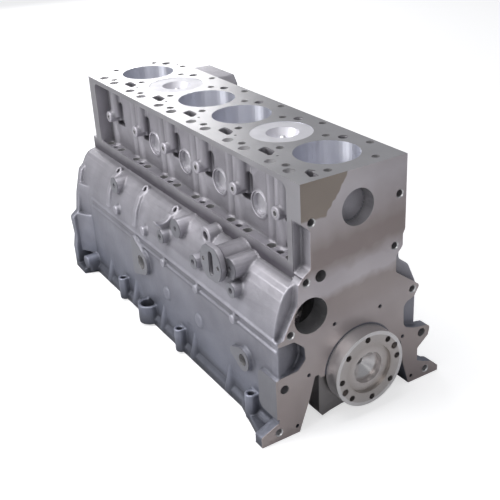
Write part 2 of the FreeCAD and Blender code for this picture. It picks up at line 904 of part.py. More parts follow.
def side_holes():
    """Holes in the bosses and pads of both sides."""
    shapes = []
    for number in cylinder_numbers:
        shapes.append(rod_y(cover_boss_y - 1, cover_boss_y + 15, cylinder_x(number) + 2, cover_bolt_z, 4.0))
    for number in (2, 4, 6):
        x = cylinder_x(number) + 8
        shapes.append(rod_z(rail_boss_top_z - 28, rail_boss_top_z + 1, x, rail_left_y - 2, 5.5))
    shapes.append(rod_z(drum_top_z - 18, drum_top_z + 1, drum_x, cam_wall_y - 8, 14.0))
    shapes.append(rod_y(side_pad_face_y - 1, -130.0, dipstick_x, dipstick_z, 14.0))
    shapes.append(rod_y(side_pad_face_y - 1, -130.0, rear_pad_x + 2, rear_pad_z, 10.0))
    slot = []
    for z in (pump_z - pump_slot_half + 6, pump_z + pump_slot_half - 6):
        slot.append(rod_y(pump_face_y - 1, -120.0, pump_x + 1, z, 7.0))
    slot.append(box(pump_x - 6, pump_x + 8, pump_face_y - 1, -120.0, pump_z - 14, pump_z + 14))
    shapes.append(joined(slot))
    for side in (-1, 1):
        x = pump_x + side * pump_bolt_spacing / 2
        shapes.append(rod_y(pump_face_y - 1, pump_face_y + 18, x, pump_z, 4.0))
    for number in (2, 3, 4):
        shapes.append(Part.makeCylinder(4.5, 16.0, V(main_x(number) + 17, -114.0, 161.0), V(0, -1, 1)))
    for number in (4, 5, 6):
        shapes.append(rod_y(-158.0, -138.0, main_x(number) + 21, 127.0, 5.0))
    places = (
        (cylinder_x(2) - 11, 153.0, -146.0),
        (cylinder_x(4) + 3, 155.0, -146.0),
        (cylinder_x(6) - 46, 160.0, -152.0),
    )
    for x, z, y in places:
        shapes.append(rod_y(y - 1, y + 20, x, z, 4.5))
    shapes.append(rod_y(-131.0, -112.0, main_x(5) + 20, 166.0, 8.0))
    recess = [
        (front_x + 64, cooler_foot_z + 14, 8),
        (front_x + 189, cooler_foot_z + 14, 8),
        (front_x + 189, deck_height - 35, 8),
        (front_x + 64, deck_height - 35, 8),
    ]
    shapes.append(slab_y(recess, cooler_face_y - cooler_recess, cooler_face_y + 1))
    for x in mount_pads:
        for offset in (-mount_bolt_x, mount_bolt_x):
            for z in mount_bolt_z:
                shapes.append(rod_y(right_skirt_y - 4, mount_pad_y + 1, x + offset, z, 6.0))
    return shapes


def cylinder_block():
    blank = casting()
    opened = less(blank, [chamber_cut()] + chamber_pockets())
    columned = joined([opened] + chamber_columns())
    hollow = less(columned, crankcase_bays() + [parting_cut()])
    bored = less(hollow, long_bores() + deck_holes())
    drilled = less(bored, tappet_holes() + rear_holes() + rear_pockets() + [front_trim()])
    return less(drilled, cap_bolt_holes() + rail_holes() + plug_seats() + side_holes())


# Crankshaft
def web(number, x0, x1):
    """One crank web: tangent hull of hub and pin, with a counterweight on the weighted throws."""
    pin = (pin_y(number), pin_z(number))
    shapes = [
        rod_x(x0, x1, 0, 0, web_hub_radius),
        rod_x(x0, x1, pin[0], pin[1], web_pin_radius),
        slab_x(belt((0, 0), pin, web_hub_radius, web_pin_radius), x0, x1),
    ]
    if number in weighted_throws:
        shapes.append(counterweight(pin, x0, x1))
    return joined(shapes)


def counterweight(pin, x0, x1):
    """Sector opposite the crankpin."""
    away = math.atan2(-pin[1], -pin[0])
    half = math.radians(counterweight_half_angle)

    def spot(angle, radius):
        return V(x0, radius * math.cos(away + angle), radius * math.sin(away + angle))

    rim = [spot(a, counterweight_radius) for a in (-half, 0, half)]
    hub = [spot(a, web_hub_radius - 0.5) for a in (pi / 2, -pi / 2)]
    edges = [
        Part.Arc(*rim).toShape(),
        Part.makeLine(rim[2], hub[0]),
        Part.makeLine(hub[0], hub[1]),
        Part.makeLine(hub[1], rim[0]),
    ]
    return Part.Face(Part.Wire(edges)).extrude(V(x1 - x0, 0, 0))


def flange_bolt_places():
    """Centres of the flange's bolt holes, evenly spaced."""
    places = []
    for k in range(flange_bolts):
        angle = math.radians(flange_bolt_turn) + 2 * pi * k / flange_bolts
        places.append((flange_bolt_circle * math.cos(angle), flange_bolt_circle * math.sin(angle)))
    return places


flange_end = flange_start + flange_thickness
gear_front = front_x - gear_width - 4
nose_front = front_x - nose_length


def crankshaft():
    shapes = []
    for number in main_numbers:
        x = main_x(number)
        x0 = front_x - 2 if number == 1 else x - half_journal
        x1 = flange_start + 1 if number == cylinders + 1 else x + half_journal
        shapes.append(rod_x(x0, x1, 0, 0, main_journal_radius))
    for number in cylinder_numbers:
        x = cylinder_x(number)
        inner = pin_half_length
        outer = pin_half_length + web_thickness
        shapes.append(web(number, x - outer, x - inner))
        shapes.append(web(number, x + inner, x + outer))
        shapes.append(rod_x(x - inner, x + inner, pin_y(number), pin_z(number), pin_radius))
    shapes.append(rod_x(gear_front, front_x - 2, 0, 0, gear_seat_radius))
    shapes.append(rod_x(nose_front, gear_front, 0, 0, nose_radius))
    shapes.append(rod_x(flange_start, flange_end, 0, 0, flange_radius))
    cone_start = flange_end - pilot_depth - 12.5
    holes = [
        rod_x(flange_end - flange_recess_depth, flange_end + 1, 0, 0, flange_recess_radius),
        rod_x(flange_end - pilot_depth, flange_end + 1, 0, 0, pilot_radius),
        Part.makeCone(centre_hole_radius, pilot_radius - 4, 13.0, V(cone_start, 0, 0), V(1, 0, 0)),
        rod_x(flange_end - pilot_depth - 24, flange_end, 0, 0, centre_hole_radius),
        rod_x(nose_front - 1, nose_front + 30, 0, 0, 8.0),
    ]
    for y, z in flange_bolt_places():
        holes.append(rod_x(flange_start - 1, flange_end + 1, y, z, flange_bolt_radius))
    for side in (-1, 1):
        angle = math.radians(flange_dowel_turn) + (0 if side > 0 else pi)
        y = flange_bolt_circle * math.cos(angle)
        z = flange_bolt_circle * math.sin(angle)
        holes.append(rod_x(flange_end - 14, flange_end + 1, y, z, flange_dowel_radius))
    return less(joined(shapes), holes)


def crank_gear():
    """Timing gear on the crankshaft's nose, with straight-sided teeth."""
    root = gear_root_radius
    tip = root + gear_tooth_height
    step = 2 * pi / gear_teeth
    points = []
    for k in range(gear_teeth):
        for share, radius in ((-0.31, root), (-0.14, tip), (0.14, tip), (0.31, root)):
            angle = step * (k + share)
            points.append((radius * math.cos(angle), radius * math.sin(angle)))
    x0 = gear_front
    x1 = gear_front + gear_width
    wheel = slab_x(points, x0, x1)
    return less(wheel, [rod_x(x0 - 1, x1 + 1, 0, 0, gear_seat_radius)])


# Pieces round the main bearings
def main_cap(number):
    x = main_x(number)
    half = bearing_width / 2
    corner_y = cap_half_width - 6
    section = [
        (-cap_half_width, 0.0),
        (-cap_half_width, -cap_height + 8),
        (-corner_y, -cap_height),
        (-corner_y + 16, -cap_height + 4),
        (-corner_y + 38, -cap_height + 7),
        (corner_y - 38, -cap_height + 7),
        (corner_y - 16, -cap_height + 4),
        (corner_y, -cap_height),
        (cap_half_width, -cap_height + 8),
        (cap_half_width, 0.0),
    ]
    cuts = [rod_x(x - half - 1, x + half + 1, 0, 0, main_bore_radius)]
    for y in (-cap_bolt_y, cap_bolt_y):
        cuts.append(rod_z(-cap_height - 1, 1, x, y, cap_bolt_radius + bolt_gap))
        cuts.append(rod_z(-cap_height - 1, -cap_seat_depth, x, y, cap_seat_radius))
    return less(slab_x(section, x - half, x + half), cuts)


def main_cap_bolt(number, y):
    x = main_x(number)
    head = slab_z(hexagon(21.0, x, y), -cap_seat_depth - bolt_head_height, -cap_seat_depth)
    return joined([head, rod_z(-cap_seat_depth - 1, cap_bolt_depth, x, y, cap_bolt_radius)])


def half_ring(x0, x1, inner, outer, y, z, tilt, side):
    """Half of a ring round a line along X; side 1 is the upper half, tilt leans it, in degrees."""
    ring = rod_x(x0, x1, 0, 0, outer).cut(rod_x(x0 - 1, x1 + 1, 0, 0, inner))
    reach = outer + 1
    span = (0, reach) if side > 0 else (-reach, 0)
    keep = box(x0 - 1, x1 + 1, -reach, reach, span[0], span[1])
    half = ring.common(keep)
    half.rotate(V(0, 0, 0), V(1, 0, 0), tilt)
    half.translate(V(0, y, z))
    return half


def main_shells(side):
    half = bearing_width / 2 - 1
    inner = main_journal_radius + running_gap
    shapes = []
    for number in main_numbers:
        x = main_x(number)
        shapes.append(half_ring(x - half, x + half, inner, main_bore_radius, 0, 0, 0, side))
    return shapes


def thrust_washers():
    """Half washers each side of one bulkhead, between it and the crank webs."""
    x = main_x(thrust_main)
    face = bulkhead_half
    shapes = []
    for x0 in (x - face - thrust_washer, x + face):
        shapes.append(half_ring(x0, x0 + thrust_washer, main_bore_radius, thrust_washer_radius, 0, 0, 0, 1))
    return shapes


def cam_bushing():
    """Thin bush in the front camshaft bore."""
    x0 = front_x + 1
    x1 = main_x(1) + bulkhead_half
    outer = rod_x(x0, x1, cam_y, cam_z, cam_bore_radius)
    return outer.cut(rod_x(x0 - 1, x1 + 1, cam_y, cam_z, cam_bore_radius - cam_bush_wall))


def core_plugs():
    """Pressed cups that close the casting's core holes, open side outwards."""
    shapes = []
    for x, y, z, side in plug_places():
        mouth = y - side * plug_sink
        floor = mouth - side * plug_depth
        cup = rod_y(min(floor, mouth), max(floor, mouth), x, z, plug_radius)
        inner = floor + side * plug_wall
        hollow = rod_y(min(inner, mouth + side), max(inner, mouth + side), x, z, plug_radius - plug_wall)
        shapes.append(cup.cut(hollow))
    return shapes


# Connecting rods, drawn upright about the big end and then leaned over
def lean(number):
    """Angle of a rod from upright, in degrees about X, and its big end's centre."""
    angle = math.degrees(math.asin(pin_y(number) / rod_length))
    return angle, V(cylinder_x(number), pin_y(number), pin_z(number))


def placed(shape, number):
    angle, centre = lean(number)
    shape.rotate(V(0, 0, 0), V(1, 0, 0), angle)
    shape.translate(centre)
    return shape


def connecting_rod(number):
    half = big_end_width / 2
    beam = beam_width / 2
    small = small_end_width / 2
    big = [
        (-big_end_half, 0.0),
        (big_end_half, 0.0),
        (big_end_half, 18.0, 6),
        (32.0, 42.0, 12),
        (14.0, 62.0),
        (-14.0, 62.0),
        (-32.0, 42.0, 12),
        (-big_end_half, 18.0, 6),
    ]
    shank = [
        (-34.0, 34.0),
        (34.0, 34.0),
        (19.0, 74.0, 40),
        (13.0, rod_length),
        (-13.0, rod_length),
        (-19.0, 74.0, 40),
    ]
    pocket = [
        (-11.0, 76.0, 5),
        (11.0, 76.0, 5),
        (7.5, rod_length - small_end_radius - 6, 5),
        (-7.5, rod_length - small_end_radius - 6, 5),
    ]
    body = joined([
        slab_x(big, -half, half),
        slab_x(shank, -beam, beam),
        rod_x(-small, small, 0, rod_length, small_end_radius),
    ])
    cuts = [
        rod_x(-half - 1, half + 1, 0, 0, rod_bore_radius),
        rod_x(-small - 1, small + 1, 0, rod_length, small_end_bore),
        slab_x(pocket, -beam - 1, -beam + beam_recess),
        slab_x(pocket, beam - beam_recess, beam + 1),
    ]
    for y in (-rod_bolt_offset, rod_bolt_offset):
        cuts.append(rod_z(-1, rod_bolt_depth + 2, 0, y, rod_bolt_radius + bolt_gap))
    return placed(less(body, cuts), number)


def rod_cap(number):
    half = big_end_width / 2
    section = [
        (-big_end_half, 0.0),
        (-big_end_half, -rod_cap_seat - 4, 4),
        (-36.0, -rod_cap_seat - 6, 8),
        (-18.0, -rod_cap_height, 12),
        (18.0, -rod_cap_height, 12),
        (36.0, -rod_cap_seat - 6, 8),
        (big_end_half, -rod_cap_seat - 4, 4),
        (big_end_half, 0.0),
    ]
    cuts = [rod_x(-half - 1, half + 1, 0, 0, rod_bore_radius)]
    for y in (-rod_bolt_offset, rod_bolt_offset):
        cuts.append(rod_z(-rod_cap_height, 1, 0, y, rod_bolt_radius + bolt_gap))
        cuts.append(rod_z(-rod_cap_height - 1, -rod_cap_seat, 0, y, 10.5))
    return placed(less(slab_x(section, -half, half), cuts), number)


def rod_bolts():
    shapes = []
    for number in cylinder_numbers:
        for y in (-rod_bolt_offset, rod_bolt_offset):
            head = slab_z(hexagon(16.0, 0, y), -rod_cap_seat - rod_bolt_head, -rod_cap_seat)
            bolt = joined([head, rod_z(-rod_cap_seat - 1, rod_bolt_depth, 0, y, rod_bolt_radius)])
            shapes.append(placed(bolt, number))
    return shapes


def rod_shells(side):
    half = big_end_width / 2 - 2
    inner = pin_radius + running_gap
    shapes = []
    for number in cylinder_numbers:
        angle, centre = lean(number)
        x = centre.x
        shapes.append(half_ring(x - half, x + half, inner, rod_bore_radius, centre.y, centre.z, angle, side))
    return shapes


def small_end_bushes():
    half = small_end_width / 2
    inner = pin_bore_radius + running_gap
    shapes = []
    for number in cylinder_numbers:
        x = cylinder_x(number)
        z = gudgeon_z(number)
        ring = rod_x(x - half, x + half, 0, z, small_end_bore)
        shapes.append(ring.cut(rod_x(x - half - 1, x + half + 1, 0, z, inner)))
    return shapes


# Pistons, pins and rings
def ring_levels(number):
    """Top, height of each ring groove of one piston, from the crown down."""
    crown = gudgeon_z(number) + compression_height
    return (
        (crown - top_ring_below_crown, top_ring_height),
        (crown - second_ring_below_crown, second_ring_height),
        (crown - oil_ring_below_crown, oil_ring_height),
    )


def piston(number):
    x = cylinder_x(number)
    z = gudgeon_z(number)
    crown = z + compression_height
    bottom = z - skirt_below_pin
    inside = piston_radius - skirt_wall
    body = rod_z(bottom, crown, x, 0, piston_radius)
    hollow = rod_z(bottom - 1, crown - crown_thickness, x, 0, inside)
    bosses = [
        box(x - inside, x - boss_half_gap, -26.0, 26.0, z - 24, crown - crown_thickness + 1),
        box(x + boss_half_gap, x + inside, -26.0, 26.0, z - 24, crown - crown_thickness + 1),
    ]
    hollow = hollow.cut(bosses)
    bowl_floor = V(x + bowl_offset, 0, crown - bowl_depth)
    bowl = Part.makeCone(bowl_radius - 6, bowl_radius, bowl_depth, bowl_floor, V(0, 0, 1))
    bowl = bowl.fuse(rod_z(crown - 0.5, crown + 1, x + bowl_offset, 0, bowl_radius))
    pip = Part.makeCone(12.0, 3.0, bowl_depth - 5, V(x + bowl_offset, 0, crown - bowl_depth), V(0, 0, 1))
    pin_bore = rod_x(x - piston_radius - 1, x + piston_radius + 1, 0, z, pin_bore_radius + running_gap)
    cuts = [hollow, bowl.cut(pip), pin_bore]
    for top, height in ring_levels(number):
        groove = rod_z(top - height, top, x, 0, bore_radius + 2)
        cuts.append(groove.cut(rod_z(top - height - 1, top + 1, x, 0, bore_radius - ring_depth - ring_gap)))
    for side in (-1, 1):
        near = x + side * pin_length / 2
        far = near + side * circlip_width
        cuts.append(rod_x(min(near, far), max(near, far), 0, z, pin_bore_radius + circlip_depth))
    return less(body, cuts)


def piston_pin(number):
    x = cylinder_x(number)
    z = gudgeon_z(number)
    half = pin_length / 2
    tube = rod_x(x - half, x + half, 0, z, pin_bore_radius)
    return tube.cut(rod_x(x - half - 1, x + half + 1, 0, z, pin_bore_radius - pin_wall))


def piston_rings(level):
    """One ring for each piston, with its gap cut at the camshaft side."""
    shapes = []
    for number in cylinder_numbers:
        x = cylinder_x(number)
        top, height = ring_levels(number)[level]
        high = top - running_gap
        low = top - height + running_gap
        ring = rod_z(low, high, x, 0, bore_radius).cut(rod_z(low - 1, high + 1, x, 0, bore_radius - ring_depth))
        slit = box(x - 0.4, x + 0.4, -bore_radius - 1, -bore_radius + ring_depth + 1, low - 1, high + 1)
        shapes.append(ring.cut(slit))
    return shapes


def pin_circlips():
    """Spring rings that hold each piston pin, open at the bottom."""
    shapes = []
    for number in cylinder_numbers:
        z = gudgeon_z(number)
        for side in (-1, 1):
            near = cylinder_x(number) + side * pin_length / 2
            far = near + side * circlip_width
            x0 = min(near, far)
            x1 = max(near, far)
            outer = rod_x(x0, x1, 0, z, pin_bore_radius + circlip_depth)
            ring = outer.cut(rod_x(x0 - 1, x1 + 1, 0, z, pin_bore_radius - 1.2))
            shapes.append(ring.cut(box(x0 - 1, x1 + 1, -5.0, 5.0, z - 30, z)))
    return shapes


save([cylinder_block()], "cylinder_block")
save([crankshaft()], "crankshaft")
save([crank_gear()], "crank_gear")
save([cam_bushing()], "cam_bushing")
save(core_plugs(), "core_plugs")
save(main_shells(1), "upper_main_shells")
save(main_shells(-1), "lower_main_shells")
save(thrust_washers(), "thrust_washers")
save([main_cap_bolt(n, y) for n in main_numbers for y in (-cap_bolt_y, cap_bolt_y)], "main_cap_bolts")
save(rod_shells(1), "upper_rod_shells")
save(rod_shells(-1), "lower_rod_shells")
save(rod_bolts(), "rod_bolts")
save(small_end_bushes(), "small_end_bushes")
save(pin_circlips(), "pin_circlips")
save(piston_rings(0), "top_rings")
save(piston_rings(1), "second_rings")
save(piston_rings(2), "oil_rings")
for number in main_numbers:
    save([main_cap(number)], "main_cap_%d" % number)
for number in cylinder_numbers:
    save([connecting_rod(number)], "connecting_rod_%d" % number)
    save([rod_cap(number)], "rod_cap_%d" % number)
    save([piston(number)], "piston_%d" % number)
    save([piston_pin(number)], "piston_pin_%d" % number)
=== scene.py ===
"""Looks of the inline-six short block: cast skin, machined faces, materials, light and camera."""

import json
import math

import bmesh
import bpy
import numpy as np
from mathutils import Matrix, Vector
from mathutils.bvhtree import BVHTree


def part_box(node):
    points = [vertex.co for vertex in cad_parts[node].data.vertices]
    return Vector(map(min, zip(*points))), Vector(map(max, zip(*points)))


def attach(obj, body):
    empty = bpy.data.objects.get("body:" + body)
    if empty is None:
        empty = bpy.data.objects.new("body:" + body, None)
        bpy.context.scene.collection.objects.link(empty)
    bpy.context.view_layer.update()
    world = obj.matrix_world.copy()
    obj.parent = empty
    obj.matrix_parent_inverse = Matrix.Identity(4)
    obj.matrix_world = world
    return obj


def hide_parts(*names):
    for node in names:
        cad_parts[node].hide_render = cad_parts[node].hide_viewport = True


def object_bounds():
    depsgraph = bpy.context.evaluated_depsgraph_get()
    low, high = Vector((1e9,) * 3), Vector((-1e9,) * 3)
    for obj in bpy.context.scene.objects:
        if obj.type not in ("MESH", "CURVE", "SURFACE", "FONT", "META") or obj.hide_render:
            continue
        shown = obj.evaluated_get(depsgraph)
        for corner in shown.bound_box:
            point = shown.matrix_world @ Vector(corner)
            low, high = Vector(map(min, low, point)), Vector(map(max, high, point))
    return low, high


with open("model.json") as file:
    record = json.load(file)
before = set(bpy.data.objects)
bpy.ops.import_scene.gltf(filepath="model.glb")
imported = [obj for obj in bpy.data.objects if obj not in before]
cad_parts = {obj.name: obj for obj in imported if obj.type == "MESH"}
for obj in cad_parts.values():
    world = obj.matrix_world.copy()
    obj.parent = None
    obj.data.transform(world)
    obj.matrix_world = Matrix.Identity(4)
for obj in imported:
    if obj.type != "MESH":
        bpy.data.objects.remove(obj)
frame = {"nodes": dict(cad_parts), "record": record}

cad_low, cad_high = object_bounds()
nodes = frame["nodes"]
mounts = {mount["name"]: mount for mount in frame["record"]["mounts"]}
MM = 0.001

# Camera of the photograph, in the row frame
camera_place = Vector((0.8868, -0.7133, 0.7673))
camera_azimuth = math.radians(59.37)
camera_elevation = math.radians(26.49)
camera_roll = math.radians(-3.24)
sensor_width = 36.0
lens = 61.88

# Surfaces of the casting
voxel = 1.6 * MM
skin_triangles = 190000
smooth_rounds = 4
smooth_share = 0.5
plate_depth = 1.4 * MM
skin_sink = 0.7 * MM
bore_radius = 51.0 * MM
main_bore_radius = 44.0 * MM
merge_distance = 1e-6
face_match = 0.15 * MM
hole_wall_reach = 0.06
mouth_width = 2.5 * MM
mouth_depth = 2 * MM
side_faces_bottom = -0.055

# Painted shade in corners and hollows, and painted light where a point is open
corner_reach = 0.020
corner_samples = 4
corner_grey = 0.72
open_grey = 1.4

# Surroundings
floor_half = 6.0
floor_gap = 0.5 * MM
floor_glow = 0.62
world_strength = 0.30
lamp_aim = (-0.37, 0, 0.12)
lamps = {
    "over": ((-0.4, -0.6, 2.2), (1.6, 1.2), 26),
    "behind": ((-3.7, 0.9, 0.95), (1.7, 0.9), 26),
    "left": ((-1.0, -2.5, 1.5), (1.4, 0.9), 38),
    "front": ((2.2, -1.4, 2.0), (1.3, 1.3), 10),
}

# Machined faces of the block by number: 0 stays as cast
DECK, FACE, HOLE, BORE, MOUTH, REAR, COVER = range(1, 8)


# Materials
def material(name, colour, metallic, roughness):
    """A new material, its node tree and its shader."""
    made = bpy.data.materials.new(name)
    made.use_nodes = True
    tree = made.node_tree
    shader = tree.nodes["Principled BSDF"]
    shader.inputs["Base Color"].default_value = (*colour, 1)
    shader.inputs["Metallic"].default_value = metallic
    shader.inputs["Roughness"].default_value = roughness
    return made, tree, shader


def coordinates(tree, stretch=(1, 1, 1)):
    """The part's own coordinates, stretched along its axes."""
    place = tree.nodes.new("ShaderNodeTexCoord")
    mapping = tree.nodes.new("ShaderNodeMapping")
    mapping.inputs["Scale"].default_value = stretch
    tree.links.new(place.outputs["Object"], mapping.inputs["Vector"])
    return mapping.outputs["Vector"]


def noise(tree, vector, scale, detail=2.0, roughness=0.5):
    """Value of a noise texture."""
    texture = tree.nodes.new("ShaderNodeTexNoise")
    texture.inputs["Scale"].default_value = scale
    texture.inputs["Detail"].default_value = detail
    texture.inputs["Roughness"].default_value = roughness
    tree.links.new(vector, texture.inputs["Vector"])
    return texture.outputs["Fac"]


def ramp(tree, value, stops):
    """Colour ramp through (position, colour) stops."""
    node = tree.nodes.new("ShaderNodeValToRGB")
    elements = node.color_ramp.elements
    while len(elements) < len(stops):
        elements.new(0.5)
    for element, (position, colour) in zip(elements, stops):
        element.position = position
        element.color = (*colour, 1)
    tree.links.new(value, node.inputs["Fac"])
    return node.outputs["Color"]


def spread(tree, value, low, high):
    """A value from 0 to 1 brought into the range from low to high."""
    node = tree.nodes.new("ShaderNodeMapRange")
    node.inputs["To Min"].default_value = low
    node.inputs["To Max"].default_value = high
    tree.links.new(value, node.inputs["Value"])
    return node.outputs["Result"]


def bump(tree, shader, heights):
    """Bump from (height value, distance in metres) pairs, the broadest first."""
    normal = None
    for height, distance in heights:
        node = tree.nodes.new("ShaderNodeBump")
        node.inputs["Strength"].default_value = 1.0
        node.inputs["Distance"].default_value = distance
        tree.links.new(height, node.inputs["Height"])
        if normal is not None:
            tree.links.new(normal, node.inputs["Normal"])
        normal = node.outputs["Normal"]
    tree.links.new(normal, shader.inputs["Normal"])


def shade(colour, factor):
    return tuple(min(1.0, c * factor) for c in colour)


def reach(tree, direction, low, high, wobble=0.0):
    """Where a point lies between two levels along a direction, from 0 to 1, with an uneven edge."""
    along = tree.nodes.new("ShaderNodeVectorMath")
    along.operation = "DOT_PRODUCT"
    along.inputs[1].default_value = direction
    tree.links.new(coordinates(tree), along.inputs[0])
    shifted = tree.nodes.new("ShaderNodeMath")
    shifted.operation = "MULTIPLY_ADD"
    shifted.inputs[1].default_value = wobble
    tree.links.new(noise(tree, coordinates(tree), 30.0), shifted.inputs[0])
    tree.links.new(along.outputs["Value"], shifted.inputs[2])
    node = tree.nodes.new("ShaderNodeMapRange")
    node.inputs["From Min"].default_value = low + wobble / 2
    node.inputs["From Max"].default_value = high + wobble / 2
    tree.links.new(shifted.outputs[0], node.inputs["Value"])
    return node.outputs["Result"]


def product(tree, first, second):
    node = tree.nodes.new("ShaderNodeMath")
    node.operation = "MULTIPLY"
    tree.links.new(first, node.inputs[0])
    tree.links.new(second, node.inputs[1])
    return node.outputs[0]


def blended(tree, share, first, second):
    """Mix of two colour outputs by a share from 0 to 1."""
    node = tree.nodes.new("ShaderNodeMix")
    node.data_type = "RGBA"
    tree.links.new(share, node.inputs["Factor"])
    tree.links.new(first, node.inputs["A"])
    tree.links.new(second, node.inputs["B"])
    return node.outputs["Result"]


def edge_light_corner_shade(tree, colour):
    """A colour with a painted highlight on outer edges and painted shade in corners and hollows."""
    shape = tree.nodes.new("ShaderNodeNewGeometry")
    # Painted highlight on ridges and painted shade in creases, from pointiness
    greys = ((0.44, (0.30,) * 3), (0.495, (0.70,) * 3), (0.56, (1.0,) * 3))
    ridge_light_shade = ramp(tree, shape.outputs["Pointiness"], greys)
    node = tree.nodes.new("ShaderNodeVectorMath")
    node.operation = "MULTIPLY"
    tree.links.new(colour, node.inputs[0])
    tree.links.new(ridge_light_shade, node.inputs[1])
    # Painted shade where ambient occlusion finds hollows, painted light where the point is open
    hidden = tree.nodes.new("ShaderNodeAmbientOcclusion")
    hidden.samples = corner_samples
    hidden.inputs["Distance"].default_value = corner_reach
    share = spread(tree, hidden.outputs["AO"], corner_grey, open_grey)
    open_share = tree.nodes.new("ShaderNodeVectorMath")
    open_share.operation = "SCALE"
    tree.links.new(node.outputs[0], open_share.inputs[0])
    tree.links.new(share, open_share.inputs["Scale"])
    return open_share.outputs[0]


def cast_metal(name, colour, grain=1.0, low=None):
    """Shot-blasted casting: mottled grey with a fine grain and an uneven skin, painted highlights on edges
    and painted shade in corners, and a darker grey of painted shade low down.
    """
    made, tree, shader = material(name, colour, 0.75, 0.52)
    place = coordinates(tree)
    broad = noise(tree, place, 14.0, 3.0)
    fine = noise(tree, place, 420.0, 3.0, 0.6)
    uneven = noise(tree, place, 55.0, 2.0)
    tint = ramp(tree, broad, ((0.3, shade(colour, 0.86)), (0.7, shade(colour, 1.14))))
    # Painted shade: a darker, bluer grey low down on the walls, and darker still on the rail
    if low is not None:
        shaded_foot = ramp(tree, broad, ((0.3, shade(low, 0.86)), (0.7, shade(low, 1.14))))
        tint = blended(tree, reach(tree, (0, 0, 1), -0.04, 0.17, 0.04), shaded_foot, tint)
        rail = ramp(tree, broad, ((0.3, shade(low, 0.34)), (0.7, shade(low, 0.5))))
        tint = blended(tree, reach(tree, (0, 0, 1), -0.078, -0.045, 0.01), rail, tint)
    tree.links.new(edge_light_corner_shade(tree, tint), shader.inputs["Base Color"])
    tree.links.new(spread(tree, fine, 0.42, 0.62), shader.inputs["Roughness"])
    bump(tree, shader, ((uneven, 0.0012), (fine, 0.00035 * grain)))
    return made


def honed_metal(name, colour, roughness):
    """Honed cylinder wall: fine level marks that stretch its sheen up and down."""
    made, tree, shader = material(name, colour, 0.85, roughness)
    upwards = tree.nodes.new("ShaderNodeCombineXYZ")
    upwards.inputs["Z"].default_value = 1.0
    tree.links.new(upwards.outputs[0], shader.inputs["Tangent"])
    shader.inputs["Anisotropic"].default_value = 0.85
    lines = noise(tree, coordinates(tree, (1, 1, 6)), 120.0, 3.0, 0.6)
    tree.links.new(spread(tree, lines, roughness - 0.05, roughness + 0.05), shader.inputs["Roughness"])
    return made


def machined_metal(name, colour, roughness, marks=(1, 1, 1), depth=0.00002):
    """Milled or ground face: faint marks along one direction and patchy sheen."""
    made, tree, shader = material(name, colour, 0.85, roughness)
    lines = noise(tree, coordinates(tree, marks), 260.0, 3.0, 0.6)
    patches = noise(tree, coordinates(tree), 9.0, 3.0)
    tint = ramp(tree, patches, ((0.3, shade(colour, 0.9)), (0.7, shade(colour, 1.1))))
    tree.links.new(tint, shader.inputs["Base Color"])
    tree.links.new(spread(tree, lines, roughness - 0.06, roughness + 0.1), shader.inputs["Roughness"])
    bump(tree, shader, ((lines, depth),))
    return made


# Painted reflection on the rear face: share of grey over brown, from the rail up to the deck
rear_reflection_stops = (
    (0.0, 0.2),
    (0.20, 0.16),
    (0.41, 0.35),
    (0.48, 0.2),
    (0.53, 0.15),
    (0.57, 0.85),
    (0.62, 0.8),
    (0.68, 0.1),
    (0.74, 0.1),
    (0.80, 0.45),
    (0.93, 0.9),
    (0.99, 0.8),
)


def rear_metal(name):
    """Milled rear face: brown-grey with painted reflection that makes it lighter at the deck and towards
    the crankshaft, with an oil stain.
    """
    made, tree, shader = material(name, (0.4, 0.39, 0.39), 0.8, 0.36)
    stains = noise(tree, coordinates(tree), 7.0, 3.0, 0.45)
    brown = ramp(tree, stains, ((0.35, (0.36, 0.30, 0.285)), (0.65, (0.46, 0.40, 0.38))))
    grey = ramp(tree, stains, ((0.35, (0.66, 0.62, 0.65)), (0.65, (0.80, 0.76, 0.79))))
    # Painted reflection: lighter grey bands over the brown by height
    height = reach(tree, (0, -0.1, 1), -0.08, 0.33, 0.03)
    level = ramp(tree, height, [(at, (share,) * 3) for at, share in rear_reflection_stops])
    plain = blended(tree, level, brown, grey)
    stained = ramp(tree, stains, ((0.35, (0.36, 0.31, 0.27)), (0.65, (0.44, 0.38, 0.335))))
    beside = reach(tree, (0, -1, 0.66), 0.2350, 0.2374, 0.035)
    above = reach(tree, (0, 0.05, 1), 0.262, 0.265, 0.01)
    tint = blended(tree, product(tree, beside, above), plain, stained)
    tree.links.new(tint, shader.inputs["Base Color"])
    lines = noise(tree, coordinates(tree, (1, 0.1, 1)), 300.0, 2.0)
    tree.links.new(spread(tree, lines, 0.32, 0.42), shader.inputs["Roughness"])
    return made


def cover_metal(name):
    """Milled rim round the pushrod chamber, with painted shade along its lower edge."""
    made, tree, shader = material(name, (0.4, 0.39, 0.41), 0.75, 0.44)
    patches = noise(tree, coordinates(tree), 12.0, 3.0)
    rim = ramp(tree, patches, ((0.3, (0.34, 0.33, 0.35)), (0.7, (0.42, 0.41, 0.43))))
    # Painted shade: near-black along the lower edge
    shaded_foot = ramp(tree, patches, ((0.3, (0.11, 0.10, 0.12)), (0.7, (0.17, 0.16, 0.18))))
    tint = blended(tree, reach(tree, (0, 0, 1), 0.180, 0.196, 0.01), shaded_foot, rim)
    tree.links.new(tint, shader.inputs["Base Color"])
    return made


